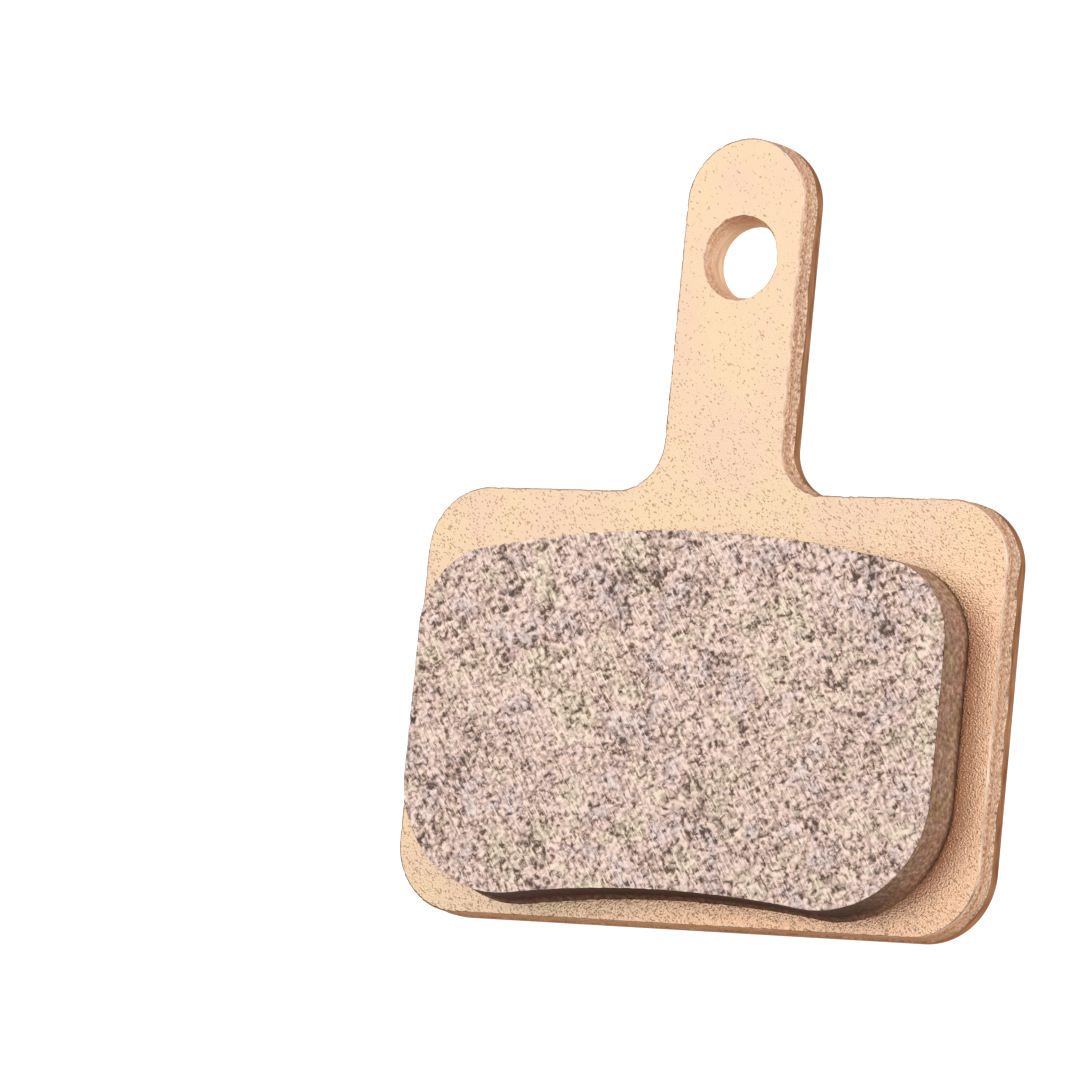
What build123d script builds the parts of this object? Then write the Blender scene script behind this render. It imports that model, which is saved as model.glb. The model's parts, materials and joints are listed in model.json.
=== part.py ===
from build123d import *
import os
from math import sqrt

# Bicycle disc brake pad: a backing plate blanked from steel sheet, with a tab that hangs it on a retaining
# pin, and a sintered friction block bonded to the front of the plate.
# The pad lies on its back: +Z is the way the friction face looks, and the tab points along +Y.
# X = 0 is the plate's centre line, Y = 0 is half way up the pad, and Z = 0 is the plate's back face.

# Backing plate, driving dimensions in millimetres
plate_width = 29.0
body_height = 19.4
pad_height = 35.4
plate_thickness = 1.8
top_corner_radius = 3.0
bottom_corner_radius = 3.2
tab_width = 6.0
tab_root_radius = 2.2

# Sheared edges of the sheet: a smooth band by the back face, then a broken band that leans in to the front
smooth_band = 0.9
broken_band_inset = 0.05
back_edge_roll = 0.1

# Retaining pin and its hole in the tab
pin_diameter = 3.0
pin_clearance = 0.2
pin_to_tab_end = 5.5
hole_flare = 0.14
hole_edge_roll = 0.12

# Friction block: the bare rim of plate around its base, its two bowed edges, and its draft in degrees
block_thickness = 2.2
side_margin = 1.35
bottom_margin = 1.3
top_margin = 2.0
block_offset_x = -0.2
top_arc_radius = 50.5
bottom_arc_radius = 53.5
block_top_corner_radius = 3.7
block_bottom_corner_radius = 5.2
block_draft = 2.5

# Values worked out from the driving dimensions
bottom_y = -pad_height / 2
shoulder_y = bottom_y + body_height
tab_end_y = bottom_y + pad_height
tab_radius = tab_width / 2
pin_y = tab_end_y - pin_to_tab_end
pin_hole_radius = pin_diameter / 2 + pin_clearance
broken_band = plate_thickness - smooth_band
block_half = plate_width / 2 - side_margin
block_bottom_y = bottom_y + bottom_margin
block_top_y = shoulder_y - top_margin


def arc_drop(radius, half_chord):
    """How far the ends of an arc lie below its crown."""
    return radius - sqrt(radius**2 - half_chord**2)


# Backing plate: the body and its round-ended tab, sheared as one outline
with BuildPart() as plate:
    with BuildSketch() as outline:
        with Locations((0, bottom_y)):
            Rectangle(plate_width, body_height, align=(Align.CENTER, Align.MIN))
        fillet(outline.vertices().group_by(Axis.Y)[0], bottom_corner_radius)
        fillet(outline.vertices().group_by(Axis.Y)[-1], top_corner_radius)
        with Locations((0, shoulder_y)):
            Rectangle(tab_width, tab_end_y - tab_radius - shoulder_y, align=(Align.CENTER, Align.MIN))
        roots = [outline.vertices().sort_by_distance((x, shoulder_y))[0] for x in (-tab_radius, tab_radius)]
        fillet(roots, tab_root_radius)
        with Locations((0, tab_end_y - tab_radius)):
            Circle(tab_radius)
    extrude(amount=plate_thickness)
    front = plate.faces().sort_by(Axis.Z)[-1]
    chamfer(front.edges(), broken_band_inset, broken_band, reference=front)
    fillet(plate.faces().sort_by(Axis.Z)[0].edges(), back_edge_roll)

    # The pin hole is pierced from the back: a straight smooth bore that breaks out wider at the front
    with Locations((0, pin_y)):
        Hole(pin_hole_radius)
    with Locations((0, pin_y, smooth_band)):
        Cone(
            pin_hole_radius,
            pin_hole_radius + hole_flare,
            broken_band,
            align=(Align.CENTER, Align.CENTER, Align.MIN),
            mode=Mode.SUBTRACT,
        )
    fillet(plate.faces().sort_by(Axis.Z)[0].inner_wires()[0].edges(), hole_edge_roll)
plate.part.label = "backing_plate"

# Friction block: a sector whose long edges bow towards the tab, drafted a little for the press tool
with BuildPart() as block:
    with BuildSketch(Plane.XY.offset(plate_thickness)) as sector:
        with BuildLine(Location((block_offset_x, 0))):
            top_end_y = block_top_y - arc_drop(top_arc_radius, block_half)
            bottom_end_y = block_bottom_y - arc_drop(bottom_arc_radius, block_half)
            ThreePointArc((-block_half, bottom_end_y), (0, block_bottom_y), (block_half, bottom_end_y))
            Line((block_half, bottom_end_y), (block_half, top_end_y))
            ThreePointArc((block_half, top_end_y), (0, block_top_y), (-block_half, top_end_y))
            Line((-block_half, top_end_y), (-block_half, bottom_end_y))
        make_face()
        fillet(sector.vertices().group_by(Axis.Y)[0], block_bottom_corner_radius)
        fillet(sector.vertices().group_by(Axis.Y)[-1], block_top_corner_radius)
    extrude(amount=block_thickness)
    walls = block.faces().sort_by(Axis.Z)[1:-1]
    draft(walls, Plane.XY.offset(plate_thickness), block_draft)
block.part.label = "friction_block"

os.makedirs("parts", exist_ok=True)
export_step(plate.part, "parts/backing_plate.step")
export_step(block.part, "parts/friction_block.step")
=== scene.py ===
# %% [markdown]
# # A bicycle disc brake pad in Blender
# The pad has two pieces: a backing plate punched from copper-plated steel sheet, and a block of sintered
# metal bonded to it. The solid model gives their sizes and places. This lesson models both again with the
# edges, pores and grain that the real ones show, and finishes them with materials made of nodes.

# %% Load the solid model
import json
from math import asin, pi, radians, sqrt, tan

import bmesh
import bpy
from mathutils import Matrix, Vector, noise


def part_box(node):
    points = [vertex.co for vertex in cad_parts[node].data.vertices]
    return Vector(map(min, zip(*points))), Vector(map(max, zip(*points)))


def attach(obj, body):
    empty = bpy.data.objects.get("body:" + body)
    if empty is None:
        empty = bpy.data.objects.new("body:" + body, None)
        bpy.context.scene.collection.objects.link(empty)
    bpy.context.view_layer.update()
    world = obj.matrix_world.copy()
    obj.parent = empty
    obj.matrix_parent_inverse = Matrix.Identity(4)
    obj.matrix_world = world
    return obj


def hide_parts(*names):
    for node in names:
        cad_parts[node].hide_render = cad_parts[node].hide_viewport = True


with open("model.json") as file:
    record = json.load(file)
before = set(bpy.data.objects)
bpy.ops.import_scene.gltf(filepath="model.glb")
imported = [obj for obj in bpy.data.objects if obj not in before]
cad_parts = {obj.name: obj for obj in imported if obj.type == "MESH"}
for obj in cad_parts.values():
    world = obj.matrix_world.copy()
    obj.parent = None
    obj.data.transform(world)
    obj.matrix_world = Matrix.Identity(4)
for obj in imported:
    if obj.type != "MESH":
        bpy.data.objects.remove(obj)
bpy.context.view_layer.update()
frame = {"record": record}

MM = 0.001
UP = Vector((0, 0, 1))
plate_low, plate_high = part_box("backing_plate")
block_low, block_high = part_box("friction_block")
scene = bpy.context.scene
print("plate, mm:", [round(s / MM, 2) for s in plate_high - plate_low])
print("block, mm:", [round(s / MM, 2) for s in block_high - block_low])

# %% [markdown]
# ## Camera
# The pad lies on its back, so a camera straight above would see only its front. The photograph was taken
# through a long lens, from the pad's right and from a little below its lower edge, so the walls on those
# two sides show. Three turns and a place along the camera's own axes say that directly.

# %% Place the camera
SENSOR_MM = 36.0
IMAGE_PX = 1080
FOCAL_PX = 7353.5
ORBIT = radians(29.2)
TILT = radians(7.02)
ROLL = radians(5.61)
AIM = Vector((0, -2.7, 0)) * MM
CAMERA_PLACE = Vector((-8.308, 2.455, 326.48)) * MM
NEAREST = 10 * MM

camera_data = bpy.data.cameras.new("camera")
camera_data.sensor_width = SENSOR_MM
camera_data.lens = SENSOR_MM * FOCAL_PX / IMAGE_PX
camera_data.clip_start = NEAREST
turn = Matrix.Rotation(ORBIT, 4, "Y") @ Matrix.Rotation(TILT, 4, "X") @ Matrix.Rotation(ROLL, 4, "Z")
camera = bpy.data.objects.new("camera", camera_data)
camera.matrix_world = Matrix.Translation(AIM) @ turn @ Matrix.Translation(CAMERA_PLACE)
scene.collection.objects.link(camera)
scene.camera = camera
print("lens, mm:", round(camera_data.lens, 1))

# %% [markdown]
# ## Nodes and colours
# Every material here is a small tree of nodes. One function adds a node, sets it and links it, so each
# material reads as a list of steps. Colours are written as sRGB hex values, the way a colour picker shows
# them, and one function turns them into the linear values that the renderer works with.

# %% Helpers for materials
WHITE = "#ffffff"


def linear(hex_colour):
    """The linear colour, with alpha, of an sRGB hex value. The numbers are those of the sRGB standard."""
    srgb = [int(hex_colour[i : i + 2], 16) / 255 for i in (1, 3, 5)]
    return (*[c / 12.92 if c <= 0.04045 else ((c + 0.055) / 1.055) ** 2.4 for c in srgb], 1.0)


def add(tree, kind, inputs=None, **settings):
    """Adds a node with its settings. Each input is a plain value, or another node's output to link."""
    node = tree.nodes.new("ShaderNode" + kind)
    for name, value in settings.items():
        setattr(node, name, value)
    for socket, value in (inputs or {}).items():
        if isinstance(value, bpy.types.NodeSocket):
            tree.links.new(value, node.inputs[socket])
        else:
            node.inputs[socket].default_value = value
    return node


def new_material(name):
    """A material with an empty node tree, and the object coordinates that its patterns read."""
    material = bpy.data.materials.new(name)
    material.use_nodes = True
    material.node_tree.nodes.clear()
    place = add(material.node_tree, "TexCoord").outputs["Object"]
    return material, material.node_tree, place


def per_metre(size_mm):
    """The scale that gives a pattern features of a real size. A pattern's scale counts per metre."""
    return 1 / (size_mm * MM)


print("white, linear:", linear(WHITE))

# %% [markdown]
# ## Stage
# A pale floor under soft light, as in a studio. The floor is a light table, so it stays white and the pad
# throws hardly any shadow on it. It lies a hair below the plate, because two faces in one place would
# flicker. Its glow is mirrored by metal but kept off matt faces, which would look lit from below.

# %% Floor
FLOOR_SIZE = 4.0
FLOOR_GAP = 0.01 * MM
TABLE_GREY = "#8c8c8c"
TABLE_ROUGHNESS = 0.9
TABLE_SHINE = 0.1
TABLE_GLOW = 1.0
scene.view_settings.view_transform = "Standard"

floor_mesh = bpy.data.meshes.new("floor")
floor_bm = bmesh.new()
bmesh.ops.create_grid(floor_bm, x_segments=1, y_segments=1, size=FLOOR_SIZE / 2)
bmesh.ops.translate(floor_bm, verts=floor_bm.verts, vec=(0, 0, plate_low.z - FLOOR_GAP))
floor_bm.to_mesh(floor_mesh)
floor_bm.free()
floor = bpy.data.objects.new("floor", floor_mesh)
scene.collection.objects.link(floor)
floor.visible_diffuse = False

# White acrylic lit from below: even and bright, with only a faint shadow.
table_acrylic, tree, _ = new_material("white_acrylic_light_table")
shader = add(
    tree, "BsdfPrincipled",
    {
        "Base Color": linear(TABLE_GREY), "Roughness": TABLE_ROUGHNESS, "Specular IOR Level": TABLE_SHINE,
        "Emission Color": linear(WHITE), "Emission Strength": TABLE_GLOW,
    },
)
add(tree, "OutputMaterial", {"Surface": shader.outputs["BSDF"]})
floor_mesh.materials.append(table_acrylic)
print("floor:", floor.name, "with", table_acrylic.name)

# %% [markdown]
# ## Light
# A wide softbox hangs over the pad, where the plate's front mirrors it towards the camera, so the metal
# looks bright. The key lamp comes from the upper left and models the matt block. Metal does not mirror it,
# or its small square would burn out on the plate. A wide fill on the right lights the block's right wall
# and shines on the plate's lip. The card below the pad is the opposite of the key: only metal mirrors it,
# so it shines on the lower lip and leaves the block's lower wall dark. The surroundings are dim and even.

# %% Lamps and surroundings
SURROUND_STRENGTH = 0.2
world = bpy.data.worlds.new("studio")
world.use_nodes = True
world.node_tree.nodes["Background"].inputs["Color"].default_value = linear(WHITE)
world.node_tree.nodes["Background"].inputs["Strength"].default_value = SURROUND_STRENGTH
scene.world = world


def add_lamp(name, direction, distance, size, watts, mirrored=True, lights=True):
    """A square soft lamp that looks at the pad. mirrored is for metal, and lights is for matt faces."""
    data = bpy.data.lights.new(name, "AREA")
    data.size = size
    data.energy = watts
    lamp = bpy.data.objects.new(name, data)
    lamp.visible_glossy = mirrored
    lamp.visible_diffuse = lights
    away = Vector(direction).normalized()
    lamp.location = AIM + away * distance
    lamp.rotation_euler = away.to_track_quat("Z", "Y").to_euler()
    scene.collection.objects.link(lamp)


add_lamp("softbox", direction=(-0.3, 0.45, 0.84), distance=0.3, size=0.44, watts=0.63)
add_lamp("key", direction=(-0.75, 0.45, 0.5), distance=0.25, size=0.14, watts=0.26, mirrored=False)
add_lamp("fill", direction=(0.74, 0.28, 0.61), distance=0.3, size=0.4, watts=0.6)
add_lamp("card", direction=(0.05, -0.93, 0.3), distance=0.3, size=0.45, watts=0.45, lights=False)

# %% [markdown]
# ## Backing plate: outline
# The plate is punched out of sheet steel in one stroke: a body with rounded corners, and a tab with a
# round end and a hole for the retaining pin. Eight corners give the outline, and a bevel of the vertices
# rounds each to its own radius. The straight runs are cut into short steps as well, so the edge can be
# made rough later, and a fill between outline and hole closes the sheet.

# %% Outline of the plate
BODY_HEIGHT = 19.4 * MM
TAB_WIDTH = 6.0 * MM
TOP_CORNER = 3.0 * MM
BOTTOM_CORNER = 3.2 * MM
TAB_ROOT = 2.2 * MM
EDGE_STEP = 0.09 * MM
ROUND_PROFILE = 0.5
WELD = 0.002 * MM
pin_hole = next(m for m in frame["record"]["mounts"] if m["name"] == "pin_hole")
hole_radius = pin_hole["dims"]["r_mm"] * MM
hole_centre = Vector((pin_hole["pos_m"][0], pin_hole["pos_m"][1], plate_low.z))
shoulder_y = plate_low.y + BODY_HEIGHT
tab_half = TAB_WIDTH / 2


def steps(length):
    """How many mesh steps of about EDGE_STEP a length takes."""
    return max(1, round(length / EDGE_STEP))


def round_corners(bm, corners, radius):
    """Rounds some corners of a flat outline."""
    bmesh.ops.bevel(
        bm, geom=corners, offset=radius, offset_type="OFFSET", affect="VERTICES",
        segments=steps(radius * pi / 2), profile=ROUND_PROFILE, material=-1,
    )


plate = bmesh.new()
right_side = [
    (plate_high.x, plate_low.y),
    (plate_high.x, shoulder_y),
    (tab_half, shoulder_y),
    (tab_half, plate_high.y),
]
left_side = [(-x, y) for x, y in reversed(right_side)]
corners = [plate.verts.new((x, y, plate_low.z)) for x, y in right_side + left_side]
plate.faces.new(corners)
bottom_right, top_right, root_right, end_right, end_left, root_left, top_left, bottom_left = corners
round_corners(plate, [bottom_right, bottom_left], BOTTOM_CORNER)
round_corners(plate, [top_right, top_left], TOP_CORNER)
round_corners(plate, [root_right, root_left], TAB_ROOT)
round_corners(plate, [end_right, end_left], tab_half)
bmesh.ops.remove_doubles(plate, verts=plate.verts, dist=WELD)
bmesh.ops.delete(plate, geom=plate.faces[:], context="FACES_ONLY")
for run in [e for e in plate.edges if steps(e.calc_length()) > 1]:
    bmesh.ops.subdivide_edges(plate, edges=[run], cuts=steps(run.calc_length()) - 1)
hole_steps = steps(2 * pi * hole_radius)
bmesh.ops.create_circle(
    plate, segments=hole_steps, radius=hole_radius, matrix=Matrix.Translation(hole_centre)
)
bmesh.ops.triangle_fill(plate, use_beauty=True, edges=plate.edges[:], normal=(0, 0, 1))
print("plate outline:", len(plate.verts), "vertices,", len(plate.faces), "faces")

# %% [markdown]
# ## Backing plate: sheared wall
# A punched edge has two bands. By the back the tool shears the metal and leaves a smooth, upright band with
# a rolled corner, and then the rest snaps off and leaves a rough band that leans in towards the front. One
# extrude makes the smooth band, an inset with a depth makes the leaning one, and bevels make the rolled
# corner at the back and the softer lip at the front. The hole breaks out wider, and most along the tab, so
# its front ring is scaled by two amounts.

# %% Bands of the wall
SMOOTH_BAND = 0.9 * MM
LEAN = 0.05 * MM
HOLE_FLARE_X = 0.1 * MM
HOLE_FLARE_Y = 0.18 * MM
BACK_ROLL = 0.1 * MM
HOLE_ROLL = 0.12 * MM
FRONT_LIP = 0.08 * MM
HOLE_LIP = 0.03 * MM
ROLL_STEPS = 4
FRONT_STEPS = 3
UPRIGHT = 0.5
band_z = plate_low.z + SMOOTH_BAND
broken_height = plate_high.z - band_z


def near_hole(vert):
    """Whether a vertex belongs to the rings of the pin hole."""
    return (vert.co.xy - hole_centre.xy).length < hole_radius + HOLE_FLARE_Y + 2 * HOLE_LIP


def rim(bm, z):
    """The edges round the flat face at a height, with the wall on their other side."""
    level = [e for e in bm.edges if all(abs(v.co.z - z) < WELD for v in e.verts)]
    return [e for e in level if any(abs(f.normal.z) < UPRIGHT for f in e.link_faces)]


def soften(bm, edges, radius, segments):
    """Rounds some edges."""
    bmesh.ops.bevel(
        bm, geom=edges, offset=radius, offset_type="OFFSET", affect="EDGES",
        segments=segments, profile=ROUND_PROFILE, material=-1,
    )


raised = bmesh.ops.extrude_face_region(plate, geom=plate.faces[:])["geom"]
raised_verts = [g for g in raised if isinstance(g, bmesh.types.BMVert)]
bmesh.ops.translate(plate, verts=raised_verts, vec=(0, 0, SMOOTH_BAND))
bmesh.ops.recalc_face_normals(plate, faces=plate.faces[:])
upper = [f for f in plate.faces if f.calc_center_median().z > band_z - WELD]
bmesh.ops.inset_region(
    plate, faces=upper, thickness=LEAN, depth=broken_height, use_boundary=True, use_even_offset=True
)
front_ring = [v for v in plate.verts if v.co.z > plate_high.z - WELD and near_hole(v)]
flare = [(hole_radius + f) / (hole_radius + LEAN) for f in (HOLE_FLARE_X, HOLE_FLARE_Y)]
bmesh.ops.scale(plate, verts=front_ring, vec=(*flare, 1), space=Matrix.Translation(-hole_centre))
plate.normal_update()
for z, edge_radius, hole_edge_radius, segments in (
    (plate_low.z, BACK_ROLL, HOLE_ROLL, ROLL_STEPS),
    (plate_high.z, FRONT_LIP, HOLE_LIP, FRONT_STEPS),
):
    edges = rim(plate, z)
    soften(plate, [e for e in edges if not near_hole(e.verts[0])], edge_radius, segments)
    soften(plate, [e for e in edges if e.is_valid and near_hole(e.verts[0])], hole_edge_radius, segments)
print("plate wall:", len(plate.faces), "faces")

# %% [markdown]
# ## Backing plate: rows and finishes
# The bands are cut into rows, so that they can be made rough. A narrow strip is set in round the front face
# too, and the roughness can then nibble at its edge without touching the rest of the face. While the rows
# still lie level, each face is told which finish it will wear: that of the flat faces, those of the two
# bands on the outer wall and in the hole, or that of the front lip, which handling has worn.

# %% Rows along the two bands
SMOOTH_ROWS = 5
BROKEN_ROWS = 10
STRIP = 0.3 * MM
LEVEL = 0.999
FLAT_FACE, SMOOTH_WALL, BROKEN_WALL, SMOOTH_HOLE, BROKEN_HOLE, WORN_LIP = range(6)
front = [f for f in plate.faces if f.normal.z > LEVEL and f.calc_center_median().z > plate_high.z - WELD]
bmesh.ops.inset_region(plate, faces=front, thickness=STRIP, use_boundary=True, use_even_offset=True)
tall = [e for e in plate.edges if abs(e.verts[0].co.z - e.verts[1].co.z) > SMOOTH_BAND / 2]
smooth_tall = [e for e in tall if min(v.co.z for v in e.verts) < band_z - WELD]
broken_tall = [e for e in tall if min(v.co.z for v in e.verts) >= band_z - WELD]
bmesh.ops.subdivide_edges(plate, edges=smooth_tall, cuts=SMOOTH_ROWS - 1, use_grid_fill=True)
bmesh.ops.subdivide_edges(plate, edges=broken_tall, cuts=BROKEN_ROWS - 1, use_grid_fill=True)
plate.normal_update()
for face in plate.faces:
    middle_z = face.calc_center_median().z
    face.smooth = abs(face.normal.z) < LEVEL
    if not face.smooth:
        face.material_index = FLAT_FACE
    elif near_hole(face.verts[0]):
        face.material_index = SMOOTH_HOLE if middle_z < band_z else BROKEN_HOLE
    elif middle_z > plate_high.z - FRONT_LIP:
        face.material_index = WORN_LIP
    else:
        face.material_index = SMOOTH_WALL if middle_z < band_z else BROKEN_WALL
print("plate with rows:", len(plate.verts), "vertices,", len(plate.faces), "faces")

# %% [markdown]
# ## Backing plate: broken band
# Steel that snaps leaves a small ledge where the smooth band ends, and above it grains that stand out and
# grains that are torn out, drawn along the edge. The ledge wanders up and down, and lies lower on the outer
# wall than in the hole. The lip has small notches. All these are moves of the wall's own vertices by a
# smooth noise, which gives the same result on every run. The moves across the wall only go inwards, so the
# plate keeps its size. Each vertex also keeps how much it faces down the pad, for the painted shade there.

# %% Rough the broken band
LEDGE = 0.045 * MM
LEDGE_RISE = 0.02 * MM
TEAR_DEPTH = 0.06 * MM
TEAR_SIZE = Vector((0.28, 0.28, 0.16)) * MM
GRAIN_DEPTH = 0.03 * MM
GRAIN_SIZE = 0.1 * MM
BAND_WANDER = 0.22 * MM
WANDER_SIZE = 1.3 * MM
BAND_DROP = 0.22 * MM
LIP_SHARE = 0.5
NOTCH_DEPTH = 0.1 * MM
NOTCH_SIZE = 0.22 * MM
NOTCH_LEVEL = 0.15
NOTCH_TURN = 4
HOLE_TEAR = 0.11 * MM
HOLE_BAND_RISE = 0.25 * MM
LEDGE_ROWS = 1.5
# The painted shade on walls that face down the pad grows with this power of how far they face down.
DOWN_SHADE_TURN = 3
down_shade_layer = plate.verts.layers.float.new("painted_down_shade")


def noise_share(spot):
    """A smooth noise at a place, as a share from 0 to 1."""
    return (1 + noise.noise(spot)) / 2


wall_verts = [v for v in plate.verts if any(f.smooth for f in v.link_faces)]
moves = []
for vert in wall_verts:
    spot = vert.co.copy()
    up_band = (spot.z - band_z) / broken_height
    in_hole = near_hole(vert)
    round_edge = Vector((spot.x, spot.y, 0))
    band_shift = HOLE_BAND_RISE if in_hole else -BAND_DROP
    wander = BAND_WANDER * noise.noise(round_edge / WANDER_SIZE) + band_shift
    up_share = max(0, (spot.z - plate_low.z - BACK_ROLL) / (SMOOTH_BAND - BACK_ROLL))
    rise = wander * (1 - up_band if up_band > 0 else up_share)
    depth = 0
    if spot.z > band_z + WELD:
        tear = noise_share(Vector([c / s for c, s in zip(spot, TEAR_SIZE)]))
        grain = noise_share(spot / GRAIN_SIZE)
        rough = TEAR_DEPTH * tear**2 + GRAIN_DEPTH * grain
        notch = NOTCH_DEPTH * max(0, noise.noise(round_edge / NOTCH_SIZE) - NOTCH_LEVEL)
        lip_fade = 1 - (1 - LIP_SHARE) * up_band
        outer = LEDGE * (1 - up_band) + rough * lip_fade + notch * up_band**NOTCH_TURN
        depth = HOLE_TEAR * (up_band * tear) ** 2 if in_hole else outer
        if up_band < LEDGE_ROWS / BROKEN_ROWS and not in_hole:
            rise += LEDGE_RISE - (spot.z - band_z)
    inwards = -Vector((vert.normal.x, vert.normal.y, 0)).normalized()
    # Painted shade below: how much the wall faces down the pad.
    vert[down_shade_layer] = max(0, inwards.y) ** DOWN_SHADE_TURN
    moves.append((vert, inwards * depth + UP * rise))
for vert, move in moves:
    vert.co += move
for edge in plate.edges:
    edge.smooth = {f.material_index for f in edge.link_faces} != {SMOOTH_WALL, BROKEN_WALL}
deepest = max(move.xy.length for vert, move in moves)
print("broken band:", len(moves), "vertices, deepest mm", round(deepest / MM, 3))

# %% [markdown]
# ## Backing plate: object
# The mesh is complete, so it becomes an object. It rides on the pad's one body, and takes the place of the
# plain plate of the solid model.

# %% Plate object
plate.normal_update()
plate_mesh = bpy.data.meshes.new("backing_plate_finished")
plate.to_mesh(plate_mesh)
plate.free()
plate_piece = bpy.data.objects.new("backing_plate_finished", plate_mesh)
scene.collection.objects.link(plate_piece)
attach(plate_piece, "root")
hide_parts("backing_plate")
plate_mesh.calc_loop_triangles()
print("plate piece:", len(plate_mesh.loop_triangles), "triangles")

# %% [markdown]
# ## Friction block: outline
# The block is metal powder, pressed in a die and sintered on to the plate. Its long edges bow towards the
# tab and its corners are rounded. Half of each long edge is a vertex spun about the centre of its arc, and
# then spun about the centre of its corner. A mirror makes the other half. A bridge between the two long
# edges, cut into rows, gives an even grid that follows the bow.

# %% Outline and grid of the block
BOTTOM_MARGIN = 1.3 * MM
TOP_ARC = 50.5 * MM
BOTTOM_ARC = 53.5 * MM
TOP_ROUND = 3.7 * MM
BOTTOM_ROUND = 5.2 * MM
ARC_STEPS = 105
ROUND_STEPS = 60
FACE_ROWS = 175
block_half = (block_high.x - block_low.x) / 2
block_middle_x = (block_high.x + block_low.x) / 2


def half_long_edge(bm, crown_y, arc, corner, bend):
    """Half a long edge, from its crown round its corner to the side wall.

    bend is -1 where the corner turns the same way as the arc, as at the top, and 1 where it turns back.
    """
    reach = arc + bend * corner
    corner_x = block_half - corner
    swept = asin(corner_x / reach)
    arc_centre = Vector((0, crown_y - arc, block_low.z))
    corner_centre = arc_centre + Vector((corner_x, sqrt(reach**2 - corner_x**2), 0))
    crown = bm.verts.new((0, crown_y, block_low.z))
    along = bmesh.ops.spin(bm, geom=[crown], cent=arc_centre, axis=UP, angle=-swept, steps=ARC_STEPS)
    turn_back = bend * pi / 2 + swept
    bmesh.ops.spin(
        bm, geom=along["geom_last"], cent=corner_centre, axis=UP, angle=turn_back, steps=ROUND_STEPS
    )


block = bmesh.new()
half_long_edge(block, block_high.y, TOP_ARC, TOP_ROUND, bend=-1)
half_long_edge(block, plate_low.y + BOTTOM_MARGIN, BOTTOM_ARC, BOTTOM_ROUND, bend=1)
bmesh.ops.mirror(block, geom=block.verts[:] + block.edges[:], axis="X", merge_dist=WELD)
rungs = bmesh.ops.bridge_loops(block, edges=block.edges[:])["edges"]
bmesh.ops.subdivide_edges(block, edges=rungs, cuts=FACE_ROWS - 1, use_grid_fill=True)
bmesh.ops.translate(block, verts=block.verts, vec=(block_middle_x, 0, 0))
bmesh.ops.recalc_face_normals(block, faces=block.faces[:])
if block.faces[:][0].normal.z < 0:
    bmesh.ops.reverse_faces(block, faces=block.faces[:])
print("block grid:", len(block.verts), "vertices,", len(block.faces), "faces")

# %% [markdown]
# ## Friction block: wall
# A pressed block leaves its die because the wall leans in by 2 or 3 degrees. The grid's outline is extruded
# to leave a copy of it on the plate. Then the grid itself is drawn in a little and lifted to the friction
# face, which pulls the wall up with it. The open side on the plate is filled, and the wall is cut into rows
# as fine as the grid.

# %% Wall of the block
DRAFT = radians(2.5)
WALL_ROWS = 24
block_height = block_high.z - block_low.z
block_middle = (block_low + block_high) / 2
lean_in = block_height * tan(DRAFT)
skirt = bmesh.ops.extrude_edge_only(block, edges=[e for e in block.edges if e.is_boundary])["geom"]
base_verts = {g for g in skirt if isinstance(g, bmesh.types.BMVert)}
lifted = [v for v in block.verts if v not in base_verts]
drawn_in = [1 - 2 * lean_in / size for size in (block_high - block_low).xy]
bmesh.ops.scale(block, verts=lifted, vec=(*drawn_in, 1), space=Matrix.Translation(-block_middle))
bmesh.ops.translate(block, verts=lifted, vec=(0, 0, block_height))
bmesh.ops.holes_fill(block, edges=[e for e in block.edges if e.is_boundary], sides=0)
uprights = [e for e in block.edges if abs(e.verts[0].co.z - e.verts[1].co.z) > block_height / 2]
bmesh.ops.subdivide_edges(block, edges=uprights, cuts=WALL_ROWS - 1, use_grid_fill=True)
bmesh.ops.recalc_face_normals(block, faces=block.faces[:])
block.normal_update()
print("block with walls:", len(uprights), "uprights,", len(block.faces), "faces")

# %% [markdown]
# ## Friction block: pores
# Between the sintered grains there are open pores, and grinding has left the face flat between them. So the
# face keeps its level and only dips where a noise says pore, more densely in some patches. The wall was
# not ground, so it is rough all over. Where it faces down the pad it is painted dark, as shade, and it
# spreads into a small foot on the plate. Each vertex also keeps how deep it lies, or how much painted shade
# it gets in its hollows, along its base and where it faces down, as an attribute that the materials read to
# darken it with painted shade.

# %% Relief of the block
PORE_SPACING = 0.28 * MM
PORE_LENGTH = 0.4 * MM
PORE_PATCH = 1.7 * MM
PORE_DEPTH = 0.08 * MM
PORE_WIDTH = 0.42
PORE_START = 0.3
PORE_FULL = 0.65
PATCH_SHARE = 0.9
WALL_ROUGH = 0.04 * MM
WALL_GRAIN = 0.24 * MM
# The wall is darkened with painted shade in its hollows, along its base, and most where it faces down the
# pad.
HOLLOW_SHADE_SHARE = 0.4
FOOT = 0.19 * MM
FOOT_HEIGHT = 0.5 * MM
BLOCK_DOWN_SHADE = 0.95
BLOCK_DOWN_SHADE_TURN = 4
FOOT_FADE = 0.5
OFF_WALL = 0.9
pore_and_shade_layer = block.verts.layers.float.new("pore_and_shade")


def pore_at(spot):
    """How far into a pore a point of the face lies, from 0 on the ground face to 1 at the bottom.

    The noise passes zero along curling lines, and a second noise keeps short pieces of them.
    """
    line = 1 - abs(noise.noise(spot / PORE_SPACING)) / PORE_WIDTH
    kept = noise.noise(spot / PORE_LENGTH + UP) + PATCH_SHARE * noise.noise(spot / PORE_PATCH)
    open_share = (kept - PORE_START) / (PORE_FULL - PORE_START)
    return max(0.0, line) * max(0.0, min(1.0, open_share))


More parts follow.
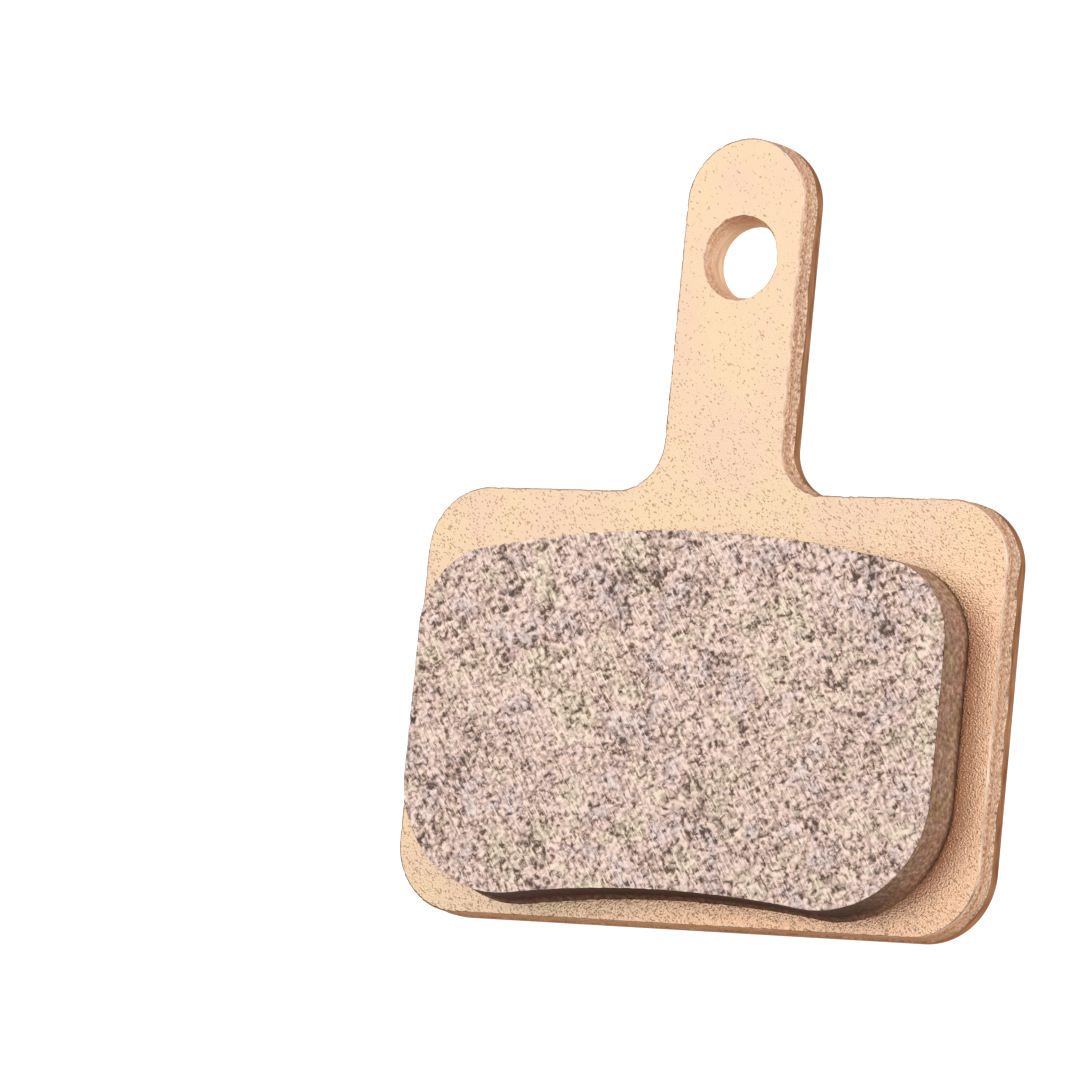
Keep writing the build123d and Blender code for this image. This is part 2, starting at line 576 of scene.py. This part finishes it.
for vert in block.verts:
    spot = vert.co.copy()
    on_face = spot.z > block_high.z - WELD
    if on_face:
        # The pore's depth also darkens it in the materials, as painted shade.
        vert[pore_and_shade_layer] = pore_at(spot)
        vert.co.z -= PORE_DEPTH * vert[pore_and_shade_layer]
    if abs(vert.normal.z) < OFF_WALL:
        rough = noise_share(spot / WALL_GRAIN)
        low_share = max(0, 1 - (spot.z - block_low.z) / FOOT_HEIGHT)
        outwards = Vector((vert.normal.x, vert.normal.y, 0)).normalized()
        faces_down = max(0, -outwards.y) ** BLOCK_DOWN_SHADE_TURN
        vert.co += outwards * (FOOT * low_share**2 * faces_down - WALL_ROUGH * rough)
        if not on_face:
            # Painted shade: in the hollows, along the base, and most where the wall faces down the pad.
            down_shade = BLOCK_DOWN_SHADE * faces_down * (1 - FOOT_FADE * low_share)
            vert[pore_and_shade_layer] = max(HOLLOW_SHADE_SHARE * rough**2, low_share * (1 - faces_down), down_shade)
# On the wall, a stained vertex is one that carries painted shade.
darkened = sum(vert[pore_and_shade_layer] > 0 for vert in block.verts)
print("relief:", darkened, "of", len(block.verts), "vertices lie deep or are stained")

# %% [markdown]
# ## Friction block: object
# Faces that look up and lie no deeper than a pore are ground, and all the others still have the skin of the
# die. The edge between the two kinds stays sharp, as grinding leaves it. The object then takes the place of
# the plain block, as the plate did before.

# %% Block object
GROUND_FACE, PRESSED_WALL = range(2)
FACES_UP = 0.3
block.normal_update()
for face in block.faces:
    face.smooth = True
    flat = all(v.co.z > block_high.z - PORE_DEPTH - WELD for v in face.verts)
    face.material_index = GROUND_FACE if flat and face.normal.z > FACES_UP else PRESSED_WALL
for edge in block.edges:
    kinds = {f.material_index for f in edge.link_faces}
    edge.smooth = len(kinds) == 1
block_mesh = bpy.data.meshes.new("friction_block_finished")
block.to_mesh(block_mesh)
block.free()
block_piece = bpy.data.objects.new("friction_block_finished", block_mesh)
scene.collection.objects.link(block_piece)
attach(block_piece, "root")
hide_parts("friction_block")
block_mesh.calc_loop_triangles()
print("block piece:", len(block_mesh.loop_triangles), "triangles")

# %% [markdown]
# ## Plate finish: copper plating on a rolled face
# Thin copper plating on sheet steel is a pale, warm metal with a satin gloss. Its colour drifts between
# cream and peach, and is warmer towards the lower right corner. A noise gives the drift, because it follows
# no pattern, and the warmth grows along the plate's diagonal.

# %% Colour of the plated face
DRIFT_MM = 3.2
DRIFT_LOW = 0.35
DRIFT_HIGH = 0.65
CREAM = "#ecd1ad"
PEACH = "#ebcbb0"
WARM_PEACH = "#f5c9a8"
WARM_FROM = 8 * MM
WARM_FULL = 20 * MM

# Copper plating over rolled steel: a satin gloss that blurs what it mirrors, with a fine pitted skin.
plated_face, tree, place = new_material("copper_plated_rolled_steel")
drift = add(tree, "TexNoise", {"Vector": place, "Scale": per_metre(DRIFT_MM), "Detail": 2.0})
drift_share = add(
    tree, "MapRange", {"Value": drift.outputs["Fac"], "From Min": DRIFT_LOW, "From Max": DRIFT_HIGH}
)
tint = add(
    tree, "Mix",
    {"Factor": drift_share.outputs["Result"], 6: linear(CREAM), 7: linear(PEACH)},
    data_type="RGBA",
)
towards_corner = add(tree, "VectorMath", {0: place, 1: (1, -1, 0)}, operation="DOT_PRODUCT")
warmth = add(
    tree, "MapRange",
    {"Value": towards_corner.outputs["Value"], "From Min": WARM_FROM, "From Max": WARM_FULL},
)
warm_tint = add(
    tree, "Mix",
    {"Factor": warmth.outputs["Result"], 6: tint.outputs[2], 7: linear(WARM_PEACH)},
    data_type="RGBA",
)
print("plating:", CREAM, PEACH, WARM_PEACH)

# %% [markdown]
# Rolling leaves small pits that show as short slanted dashes, more of them on the body than on the tab. They
# could be painted one by one, but a noise that is stretched and turned gives them all at once. Only what lies
# under a level counts as a pit, and the level changes along the plate. Their brown is painted shade.

# %% Pits of the plated face
PIT_MM = 0.068
PIT_SHADE_BROWN = "#d0a681"
DASH_STRETCH = 1.8
DASH_ANGLE = radians(-40)
BARE_Y = 10 * MM
PITTED_Y = -2 * MM
TAB_LEVEL = 0.25
BODY_LEVEL = 0.348
PIT_SLOPE = 0.08
slanted = add(
    tree, "Mapping",
    {"Vector": place, "Rotation": (0, 0, DASH_ANGLE), "Scale": (DASH_STRETCH, 1.0, 1.0)},
    vector_type="TEXTURE",
)
pits = add(
    tree, "TexNoise", {"Vector": slanted.outputs["Vector"], "Scale": per_metre(PIT_MM), "Detail": 0.0}
)
along = add(tree, "SeparateXYZ", {"Vector": place})
level = add(
    tree, "MapRange",
    {
        "Value": along.outputs["Y"], "From Min": BARE_Y, "From Max": PITTED_Y,
        "To Min": TAB_LEVEL, "To Max": BODY_LEVEL,
    },
)
below = add(tree, "Math", {0: level.outputs["Result"], 1: pits.outputs["Fac"]}, operation="SUBTRACT")
pit = add(tree, "MapRange", {"Value": below.outputs[0], "From Min": 0.0, "From Max": PIT_SLOPE})
# The pits are darkened with painted shade.
colour = add(
    tree, "Mix",
    {"Factor": pit.outputs["Result"], 6: warm_tint.outputs[2], 7: linear(PIT_SHADE_BROWN)},
    data_type="RGBA",
)
print("pits:", PIT_MM, "mm wide and", round(PIT_MM * DASH_STRETCH, 2), "mm long")

# %% [markdown]
# Rolling also leaves a fine skin like orange peel, which is rougher towards the lower right corner. It is far
# too low for the mesh, so one bump draws it, and a second bump sinks the pits.

# %% Skin and gloss of the plated face
SKIN_MM = 0.095
SKIN_HEIGHT_MM = 0.024
FINE_SKIN = -10 * MM
COARSE_SKIN = 12 * MM
FINE_STRENGTH = 0.25
COARSE_STRENGTH = 1.0
PIT_DEPTH_MM = 0.008
PLATING_ROUGHNESS = 0.3
skin = add(tree, "TexNoise", {"Vector": place, "Scale": per_metre(SKIN_MM), "Detail": 1.0})
skin_strength = add(
    tree, "MapRange",
    {
        "Value": towards_corner.outputs["Value"], "From Min": FINE_SKIN, "From Max": COARSE_SKIN,
        "To Min": FINE_STRENGTH, "To Max": COARSE_STRENGTH,
    },
)
skin_bump = add(
    tree, "Bump",
    {
        "Height": skin.outputs["Fac"], "Distance": SKIN_HEIGHT_MM * MM,
        "Strength": skin_strength.outputs["Result"],
    },
)
height = add(tree, "Math", {0: 1.0, 1: pit.outputs["Result"]}, operation="SUBTRACT")
bump = add(
    tree, "Bump",
    {
        "Height": height.outputs[0], "Distance": PIT_DEPTH_MM * MM,
        "Normal": skin_bump.outputs["Normal"],
    },
)
shader = add(
    tree, "BsdfPrincipled",
    {
        "Base Color": colour.outputs[2], "Metallic": 1.0, "Roughness": PLATING_ROUGHNESS,
        "Normal": bump.outputs["Normal"],
    },
)
add(tree, "OutputMaterial", {"Surface": shader.outputs["BSDF"]})
plate_mesh.materials.append(plated_face)
print("material:", plated_face.name)

# %% [markdown]
# ## Plate finish: sheared wall
# The plating on the wall is thinner and darker. The sheared band was burnished by the tool, with streaks of
# colour drawn along it and fine upright drag lines. The front lip is rubbed smooth in the same way, but
# bright, and the hole's plating is painted paler for the light that falls into the hole. So one function
# makes sheared metal, and it is called with the colours of each place. The metal tints what it mirrors at a
# low angle, and it is painted a darker brown, as shade, where the attribute says that the wall faces down the
# pad.

# %% Sheared smooth band
# Real drag lines are finer than the picture can show, so these are drawn wider.
DRAG_MM = 0.1
DRAG_LENGTH_MM = 1.0
DRAG_HEIGHT_MM = 0.006
STREAK_MM = 1.4
STREAK_WIDTH_MM = 0.25
STREAK_LOW = 0.3
STREAK_HIGH = 0.7
SHEARED_ROUGHNESS = 0.48
LIP_ROUGHNESS = 0.3
# Walls that face down the pad are painted a darker brown, as shade.
DOWN_SHADE_BROWN = "#a3744f"
DOWN_SHADE_SHARE = 0.7


def with_painted_down_shade(tree, colour):
    """A colour that goes over to a dull brown, as painted shade, on the walls that face down the pad."""
    low = add(tree, "Attribute", attribute_name="painted_down_shade")
    share = add(tree, "Math", {0: low.outputs["Fac"], 1: DOWN_SHADE_SHARE}, operation="MULTIPLY")
    down_shaded = add(
        tree, "Mix", {"Factor": share.outputs[0], 6: colour, 7: linear(DOWN_SHADE_BROWN)}, data_type="RGBA"
    )
    return down_shaded.outputs[2]


def sheared_metal(name, dark, pale, edge, roughness):
    """Burnished plated metal with streaks from a dark to a pale colour. edge is its tint at a low angle."""
    material, tree, place = new_material(name)
    flat = add(
        tree, "Mapping", {"Vector": place, "Scale": (1, 1, STREAK_WIDTH_MM / STREAK_MM)},
        vector_type="TEXTURE",
    )
    streaks = add(
        tree, "TexNoise",
        {"Vector": flat.outputs["Vector"], "Scale": per_metre(STREAK_MM), "Detail": 3.0, "Roughness": 0.6},
    )
    share = add(
        tree, "MapRange", {"Value": streaks.outputs["Fac"], "From Min": STREAK_LOW, "From Max": STREAK_HIGH}
    )
    colour = add(
        tree, "Mix", {"Factor": share.outputs["Result"], 6: linear(dark), 7: linear(pale)}, data_type="RGBA"
    )
    tall = add(
        tree, "Mapping", {"Vector": place, "Scale": (1, 1, DRAG_LENGTH_MM / DRAG_MM)}, vector_type="TEXTURE"
    )
    drag = add(
        tree, "TexNoise", {"Vector": tall.outputs["Vector"], "Scale": per_metre(DRAG_MM), "Detail": 2.0}
    )
    bump = add(tree, "Bump", {"Height": drag.outputs["Fac"], "Distance": DRAG_HEIGHT_MM * MM})
    shader = add(
        tree, "BsdfPrincipled",
        {
            "Base Color": with_painted_down_shade(tree, colour.outputs[2]), "Metallic": 1.0, "Roughness": roughness,
            "Specular Tint": linear(edge), "Normal": bump.outputs["Normal"],
        },
    )
    add(tree, "OutputMaterial", {"Surface": shader.outputs["BSDF"]})
    return material


# Plated steel sheared by the tool: smooth and brown, with soft streaks along the edge.
sheared_wall = sheared_metal(
    "copper_plated_sheared_steel",
    dark="#7c553d", pale="#b58968", edge="#cbb0a2", roughness=SHEARED_ROUGHNESS,
)
# The same, pierced for the pin: as smooth, but painted paler for the light that falls into the hole.
sheared_hole = sheared_metal(
    "copper_plated_pierced_steel",
    dark="#cda282", pale="#eccaac", edge="#e6d2c2", roughness=SHEARED_ROUGHNESS,
)
# The same, worn by handling: a bright line towards the light, and a dark one on the far side.
worn_lip = sheared_metal(
    "copper_plated_worn_steel",
    dark="#b8927a", pale="#eacdb4", edge="#6a4c40", roughness=LIP_ROUGHNESS,
)
print("materials:", sheared_wall.name, sheared_hole.name, worn_lip.name)

# %% [markdown]
# ## Plate finish: broken wall
# The broken band is grainy and catches the light on its grains, with a darker line half way up that is a
# painted dark reflection. The hole has the same band, but painted paler for the light that falls into it, so
# a second function makes broken metal for both places. One noise gives the grains, and it also makes the
# dark line wander.

# %% Broken band
BREAK_MM = 0.16
BREAK_WIDTH_MM = 0.12
BREAK_LOW = 0.33
BREAK_HIGH = 0.67
BREAK_HEIGHT_MM = 0.04
BROKEN_ROUGHNESS = 0.52
# The darker line half way up the band is a painted dark reflection.
PAINTED_DIP_WANDER = 0.5
PAINTED_DIP_FROM, PAINTED_DIP_DARK_FROM, PAINTED_DIP_DARK_TO, PAINTED_DIP_TO = 0.3, 0.45, 0.58, 0.72


def set_stops(ramp, tones):
    """Gives a ramp the stops of a table, and takes away the two it starts with."""
    stops = ramp.color_ramp.elements
    for position, tone_hex in tones.items():
        stops.new(position).color = linear(tone_hex)
    stops.remove(stops[-1])
    stops.remove(stops[0])


def broken_metal(name, dark, pale, edge, painted_dip_shade):
    """Grainy plated metal, with a line of painted dark reflection half way up. edge is its tint at a low
    angle.
    """
    material, tree, place = new_material(name)
    flat = add(
        tree, "Mapping", {"Vector": place, "Scale": (1, 1, BREAK_WIDTH_MM / BREAK_MM)}, vector_type="TEXTURE"
    )
    grains = add(
        tree, "TexNoise",
        {"Vector": flat.outputs["Vector"], "Scale": per_metre(BREAK_MM), "Detail": 3.0, "Roughness": 0.75},
    )
    share = add(
        tree, "MapRange", {"Value": grains.outputs["Fac"], "From Min": BREAK_LOW, "From Max": BREAK_HIGH}
    )
    grain_colour = add(
        tree, "Mix", {"Factor": share.outputs["Result"], 6: linear(dark), 7: linear(pale)}, data_type="RGBA"
    )
    height = add(tree, "SeparateXYZ", {"Vector": place})
    up_share = add(
        tree, "MapRange", {"Value": height.outputs["Z"], "From Min": band_z, "From Max": plate_high.z}
    )
    wander = add(
        tree, "Math",
        {0: grains.outputs["Fac"], 1: PAINTED_DIP_WANDER, 2: up_share.outputs["Result"]},
        operation="MULTIPLY_ADD",
    )
    level = add(tree, "Math", {0: wander.outputs[0], 1: PAINTED_DIP_WANDER / 2}, operation="SUBTRACT")
    # Painted dark reflection: a darker line half way up the band.
    painted_dip = add(tree, "ValToRGB", {"Fac": level.outputs[0]})
    set_stops(
        painted_dip, {PAINTED_DIP_FROM: WHITE, PAINTED_DIP_DARK_FROM: painted_dip_shade, PAINTED_DIP_DARK_TO: painted_dip_shade, PAINTED_DIP_TO: WHITE}
    )
    colour = add(
        tree, "Mix", {"Factor": 1.0, 6: grain_colour.outputs[2], 7: painted_dip.outputs["Color"]},
        data_type="RGBA", blend_type="MULTIPLY",
    )
    bump = add(tree, "Bump", {"Height": grains.outputs["Fac"], "Distance": BREAK_HEIGHT_MM * MM})
    shader = add(
        tree, "BsdfPrincipled",
        {
            "Base Color": with_painted_down_shade(tree, colour.outputs[2]), "Metallic": 1.0, "Roughness": BROKEN_ROUGHNESS,
            "Specular Tint": linear(edge), "Normal": bump.outputs["Normal"],
        },
    )
    add(tree, "OutputMaterial", {"Surface": shader.outputs["BSDF"]})
    return material


# Plated steel that snapped: matt and grainy, with bright specks among brown hollows.
# A darker line half way up is a painted dark reflection.
broken_wall = broken_metal(
    "copper_plated_broken_steel",
    dark="#96694f", pale="#ffe0c4", edge="#c8a898", painted_dip_shade="#efe2d8",
)
# The same where the hole broke out: painted paler for the light that falls into the hole, with less contrast
# between its grains, and a fainter painted dark reflection.
broken_hole = broken_metal(
    "copper_plated_break_out_steel",
    dark="#dca983", pale="#ffe8d0", edge="#e6d2c2", painted_dip_shade="#f6ece4",
)
for finish in (sheared_wall, broken_wall, sheared_hole, broken_hole, worn_lip):
    plate_mesh.materials.append(finish)
print("materials:", [m.name for m in plate_mesh.materials])

# %% [markdown]
# ## Block finish: ground sintered metal
# The ground face is a mosaic of copper, tin and iron grains in pinkish beige, broken up by short dark
# strokes where grinding has smeared the grains in two directions that cross. Two stretched noises with wavy
# axes give those strokes: the darker of the two wins at each point. A coarse noise makes some patches
# darker. All of this is one number so far, and a ramp turns it into the tones of the metal at the end.

# %% Strokes of the ground face
GRIND_ANGLES = (radians(-57), radians(25))
STROKE_MM = (0.16, 0.19)
STROKE_STRETCH = (1.9, 1.5)
STROKE_WEIGHT = 0.45
WAVE_MM = 0.22
WAVE_SWING = 0.24 * MM
PATCH_MM = 1.8
PATCH_WEIGHT = 0.24
NOISE_MIDDLE = 0.5

# Sintered metal, ground flat: a dull sheen, sparkling grains and dark gaps.
ground_face, tree, place = new_material("sintered_metal_ground")
wave = add(tree, "TexNoise", {"Vector": place, "Scale": per_metre(WAVE_MM), "Detail": 1.0})
swing = add(tree, "VectorMath", {0: wave.outputs["Color"], 1: (NOISE_MIDDLE,) * 3}, operation="SUBTRACT")
swung = add(tree, "VectorMath", {0: swing.outputs[0], "Scale": WAVE_SWING}, operation="SCALE")
wavy = add(tree, "VectorMath", {0: place, 1: swung.outputs[0]}, operation="ADD")
strokes = []
for angle, size, stretch in zip(GRIND_ANGLES, STROKE_MM, STROKE_STRETCH):
    turned = add(
        tree, "Mapping",
        {"Vector": wavy.outputs[0], "Rotation": (0, 0, angle), "Scale": (stretch, 1.0, 1.0)},
        vector_type="TEXTURE",
    )
    stroke = add(tree, "TexNoise", {"Vector": turned.outputs[0], "Scale": per_metre(size), "Detail": 0.0})
    strokes.append(stroke.outputs["Fac"])
darker = add(tree, "Math", {0: strokes[0], 1: strokes[1]}, operation="MINIMUM")
weighted = add(tree, "Math", {0: darker.outputs[0], 1: STROKE_WEIGHT}, operation="MULTIPLY")
patch = add(
    tree, "TexNoise", {"Vector": place, "Scale": per_metre(PATCH_MM), "Detail": 3.0, "Roughness": 1.0}
)
patched = add(
    tree, "Math",
    {0: patch.outputs["Fac"], 1: PATCH_WEIGHT, 2: weighted.outputs[0]},
    operation="MULTIPLY_ADD",
)
print("strokes:", len(strokes), "directions")

# %% [markdown]
# Between the grains there are thin, curling gaps as well. A noise passes its middle value along such lines,
# so the distance from that value draws them, and a second noise keeps only short pieces.

# %% Gaps of the ground face
GAP_MM = 0.25
GAP_HALF_WIDTH = 0.12
GAP_LENGTH_MM = 0.3
GAP_ENDS = 0.48
GAP_FULL = 0.62
GAP_WEIGHT = -0.12
curl = add(tree, "TexNoise", {"Vector": wavy.outputs[0], "Scale": per_metre(GAP_MM), "Detail": 1.0})
aside = add(tree, "Math", {0: curl.outputs["Fac"], 1: NOISE_MIDDLE}, operation="SUBTRACT")
off_line = add(tree, "Math", {0: aside.outputs[0]}, operation="ABSOLUTE")
line = add(
    tree, "MapRange",
    {
        "Value": off_line.outputs[0], "From Min": 0.0, "From Max": GAP_HALF_WIDTH,
        "To Min": 1.0, "To Max": 0.0,
    },
)
pieces = add(tree, "TexNoise", {"Vector": place, "Scale": per_metre(GAP_LENGTH_MM), "Detail": 0.0})
kept = add(tree, "MapRange", {"Value": pieces.outputs["Fac"], "From Min": GAP_ENDS, "From Max": GAP_FULL})
gap = add(tree, "Math", {0: line.outputs["Result"], 1: kept.outputs["Result"]}, operation="MULTIPLY")
gapped = add(
    tree, "Math", {0: gap.outputs[0], 1: GAP_WEIGHT, 2: patched.outputs[0]}, operation="MULTIPLY_ADD"
)
print("gaps: in pieces of about", GAP_LENGTH_MM, "mm")

# %% [markdown]
# Over the strokes run a few long, bright scratches, all one way, where the grinding wheel cut last. They are
# one noise stretched far along the wheel's path, and only its highest values count. The pores of the relief
# lower the tone as well, as painted shade.

# %% Scratches of the ground face
SCRATCH_MM = 0.08
SCRATCH_STRETCH = 11.0
SCRATCH_LOW = 0.6
SCRATCH_HIGH = 0.74
SCRATCH_WEIGHT = 0.1
# The pores are darkened as well, with painted shade.
PORE_SHADE_WEIGHT = -0.12
ground_path = add(
    tree, "Mapping",
    {"Vector": place, "Rotation": (0, 0, GRIND_ANGLES[0]), "Scale": (SCRATCH_STRETCH, 1.0, 1.0)},
    vector_type="TEXTURE",
)
ridges = add(
    tree, "TexNoise",
    {"Vector": ground_path.outputs["Vector"], "Scale": per_metre(SCRATCH_MM), "Detail": 0.0},
)
scratch = add(
    tree, "MapRange", {"Value": ridges.outputs["Fac"], "From Min": SCRATCH_LOW, "From Max": SCRATCH_HIGH}
)
scratched = add(
    tree, "Math",
    {0: scratch.outputs["Result"], 1: SCRATCH_WEIGHT, 2: gapped.outputs[0]},
    operation="MULTIPLY_ADD",
)
pore_and_shade = add(tree, "Attribute", attribute_name="pore_and_shade")
tone = add(
    tree, "Math",
    {0: pore_and_shade.outputs["Fac"], 1: PORE_SHADE_WEIGHT, 2: scratched.outputs[0]},
    operation="MULTIPLY_ADD",
)
print("scratches:", SCRATCH_MM, "mm wide and", round(SCRATCH_MM * SCRATCH_STRETCH, 1), "mm long")

# %% [markdown]
# The tones follow the metal from the dark of a gap to a polished grain. Faint tints, lavender, pink, cream
# and green, come from a noise of their own, because grains of different metals lie in loose clusters. A thin
# veil of painted shade goes over the pores last.

# %% Tones of the ground face
TONES = {
    0.16: "#6c564b", 0.20: "#917a6e", 0.23: "#ad9689", 0.26: "#c2aa9e",
    0.30: "#dbc3b6", 0.345: "#efd8cb", 0.41: "#ffebde",
}
TINTS = {0.34: "#f7f8ff", 0.45: "#fff9f9", 0.55: "#fffdf9", 0.66: "#fafdf4"}
TINT_MM = 1.6
GROUND_BUMP_MM = 0.02
# A veil of painted shade over the pores.
PORE_SHADE_VEIL = 0.4
PORE_SHADE_GREY = "#4c4a44"
GROUND_METALLIC = 0.3
GROUND_ROUGHNESS = 0.65
GROUND_SHINE = 0.2
metal = add(tree, "ValToRGB", {"Fac": tone.outputs[0]})
set_stops(metal, TONES)
cluster = add(tree, "TexNoise", {"Vector": place, "Scale": per_metre(TINT_MM), "Detail": 2.0})
tint = add(tree, "ValToRGB", {"Fac": cluster.outputs["Fac"]})
set_stops(tint, TINTS)
tinted = add(
    tree, "Mix", {"Factor": 1.0, 6: metal.outputs["Color"], 7: tint.outputs["Color"]},
    data_type="RGBA", blend_type="MULTIPLY",
)
pore_shade_share = add(tree, "Math", {0: pore_and_shade.outputs["Fac"], 1: PORE_SHADE_VEIL}, operation="MULTIPLY")
colour = add(
    tree, "Mix", {"Factor": pore_shade_share.outputs[0], 6: tinted.outputs[2], 7: linear(PORE_SHADE_GREY)}, data_type="RGBA"
)
bump = add(tree, "Bump", {"Height": tone.outputs[0], "Distance": GROUND_BUMP_MM * MM})
shader = add(
    tree, "BsdfPrincipled",
    {
        "Base Color": colour.outputs[2], "Metallic": GROUND_METALLIC, "Roughness": GROUND_ROUGHNESS,
        "Specular IOR Level": GROUND_SHINE, "Normal": bump.outputs["Normal"],
    },
)
add(tree, "OutputMaterial", {"Surface": shader.outputs["BSDF"]})
block_mesh.materials.append(ground_face)
print("material:", ground_face.name, "with", len(TONES), "tones")

# %% [markdown]
# ## Block finish: pressed wall
# The wall still has the skin of the press die: darker, matt and mottled, brown with paler grains and a hint
# of green. The attribute that the relief has left darkens it with painted shade in its hollows, along the
# base, and most of all where it faces down the pad.

# %% Pressed sintered wall
MOTTLE_MM = 0.22
WALL_BUMP_MM = 0.03
WALL_TONES = {0.30: "#96735f", 0.45: "#b8927b", 0.55: "#cda68f", 0.70: "#eccfb9"}
WALL_TINTS = {0.38: "#f6f8e6", 0.5: WHITE, 0.62: "#fff5f0"}
# The brown of the painted shade on the wall.
PAINTED_SHADE_BROWN = "#4a2616"
WALL_METALLIC = 0.1
WALL_ROUGHNESS = 0.7
WALL_SHINE = 0.1

# Sintered metal as it leaves the die: matt, because the grains on its skin scatter the light.
pressed_wall, tree, place = new_material("sintered_metal_pressed")
mottle = add(
    tree, "TexNoise", {"Vector": place, "Scale": per_metre(MOTTLE_MM), "Detail": 2.0, "Roughness": 0.7}
)
skin = add(tree, "ValToRGB", {"Fac": mottle.outputs["Fac"]})
set_stops(skin, WALL_TONES)
cluster = add(tree, "TexNoise", {"Vector": place, "Scale": per_metre(TINT_MM), "Detail": 1.0})
tint = add(tree, "ValToRGB", {"Fac": cluster.outputs["Fac"]})
set_stops(tint, WALL_TINTS)
tinted = add(
    tree, "Mix", {"Factor": 1.0, 6: skin.outputs["Color"], 7: tint.outputs["Color"]},
    data_type="RGBA", blend_type="MULTIPLY",
)
painted_shade = add(tree, "Attribute", attribute_name="pore_and_shade")
colour = add(
    tree, "Mix", {"Factor": painted_shade.outputs["Fac"], 6: tinted.outputs[2], 7: linear(PAINTED_SHADE_BROWN)},
    data_type="RGBA",
)
bump = add(tree, "Bump", {"Height": mottle.outputs["Fac"], "Distance": WALL_BUMP_MM * MM})
shader = add(
    tree, "BsdfPrincipled",
    {
        "Base Color": colour.outputs[2], "Metallic": WALL_METALLIC, "Roughness": WALL_ROUGHNESS,
        "Specular IOR Level": WALL_SHINE, "Normal": bump.outputs["Normal"],
    },
)
add(tree, "OutputMaterial", {"Surface": shader.outputs["BSDF"]})
block_mesh.materials.append(pressed_wall)
print("materials:", [m.name for m in block_mesh.materials])
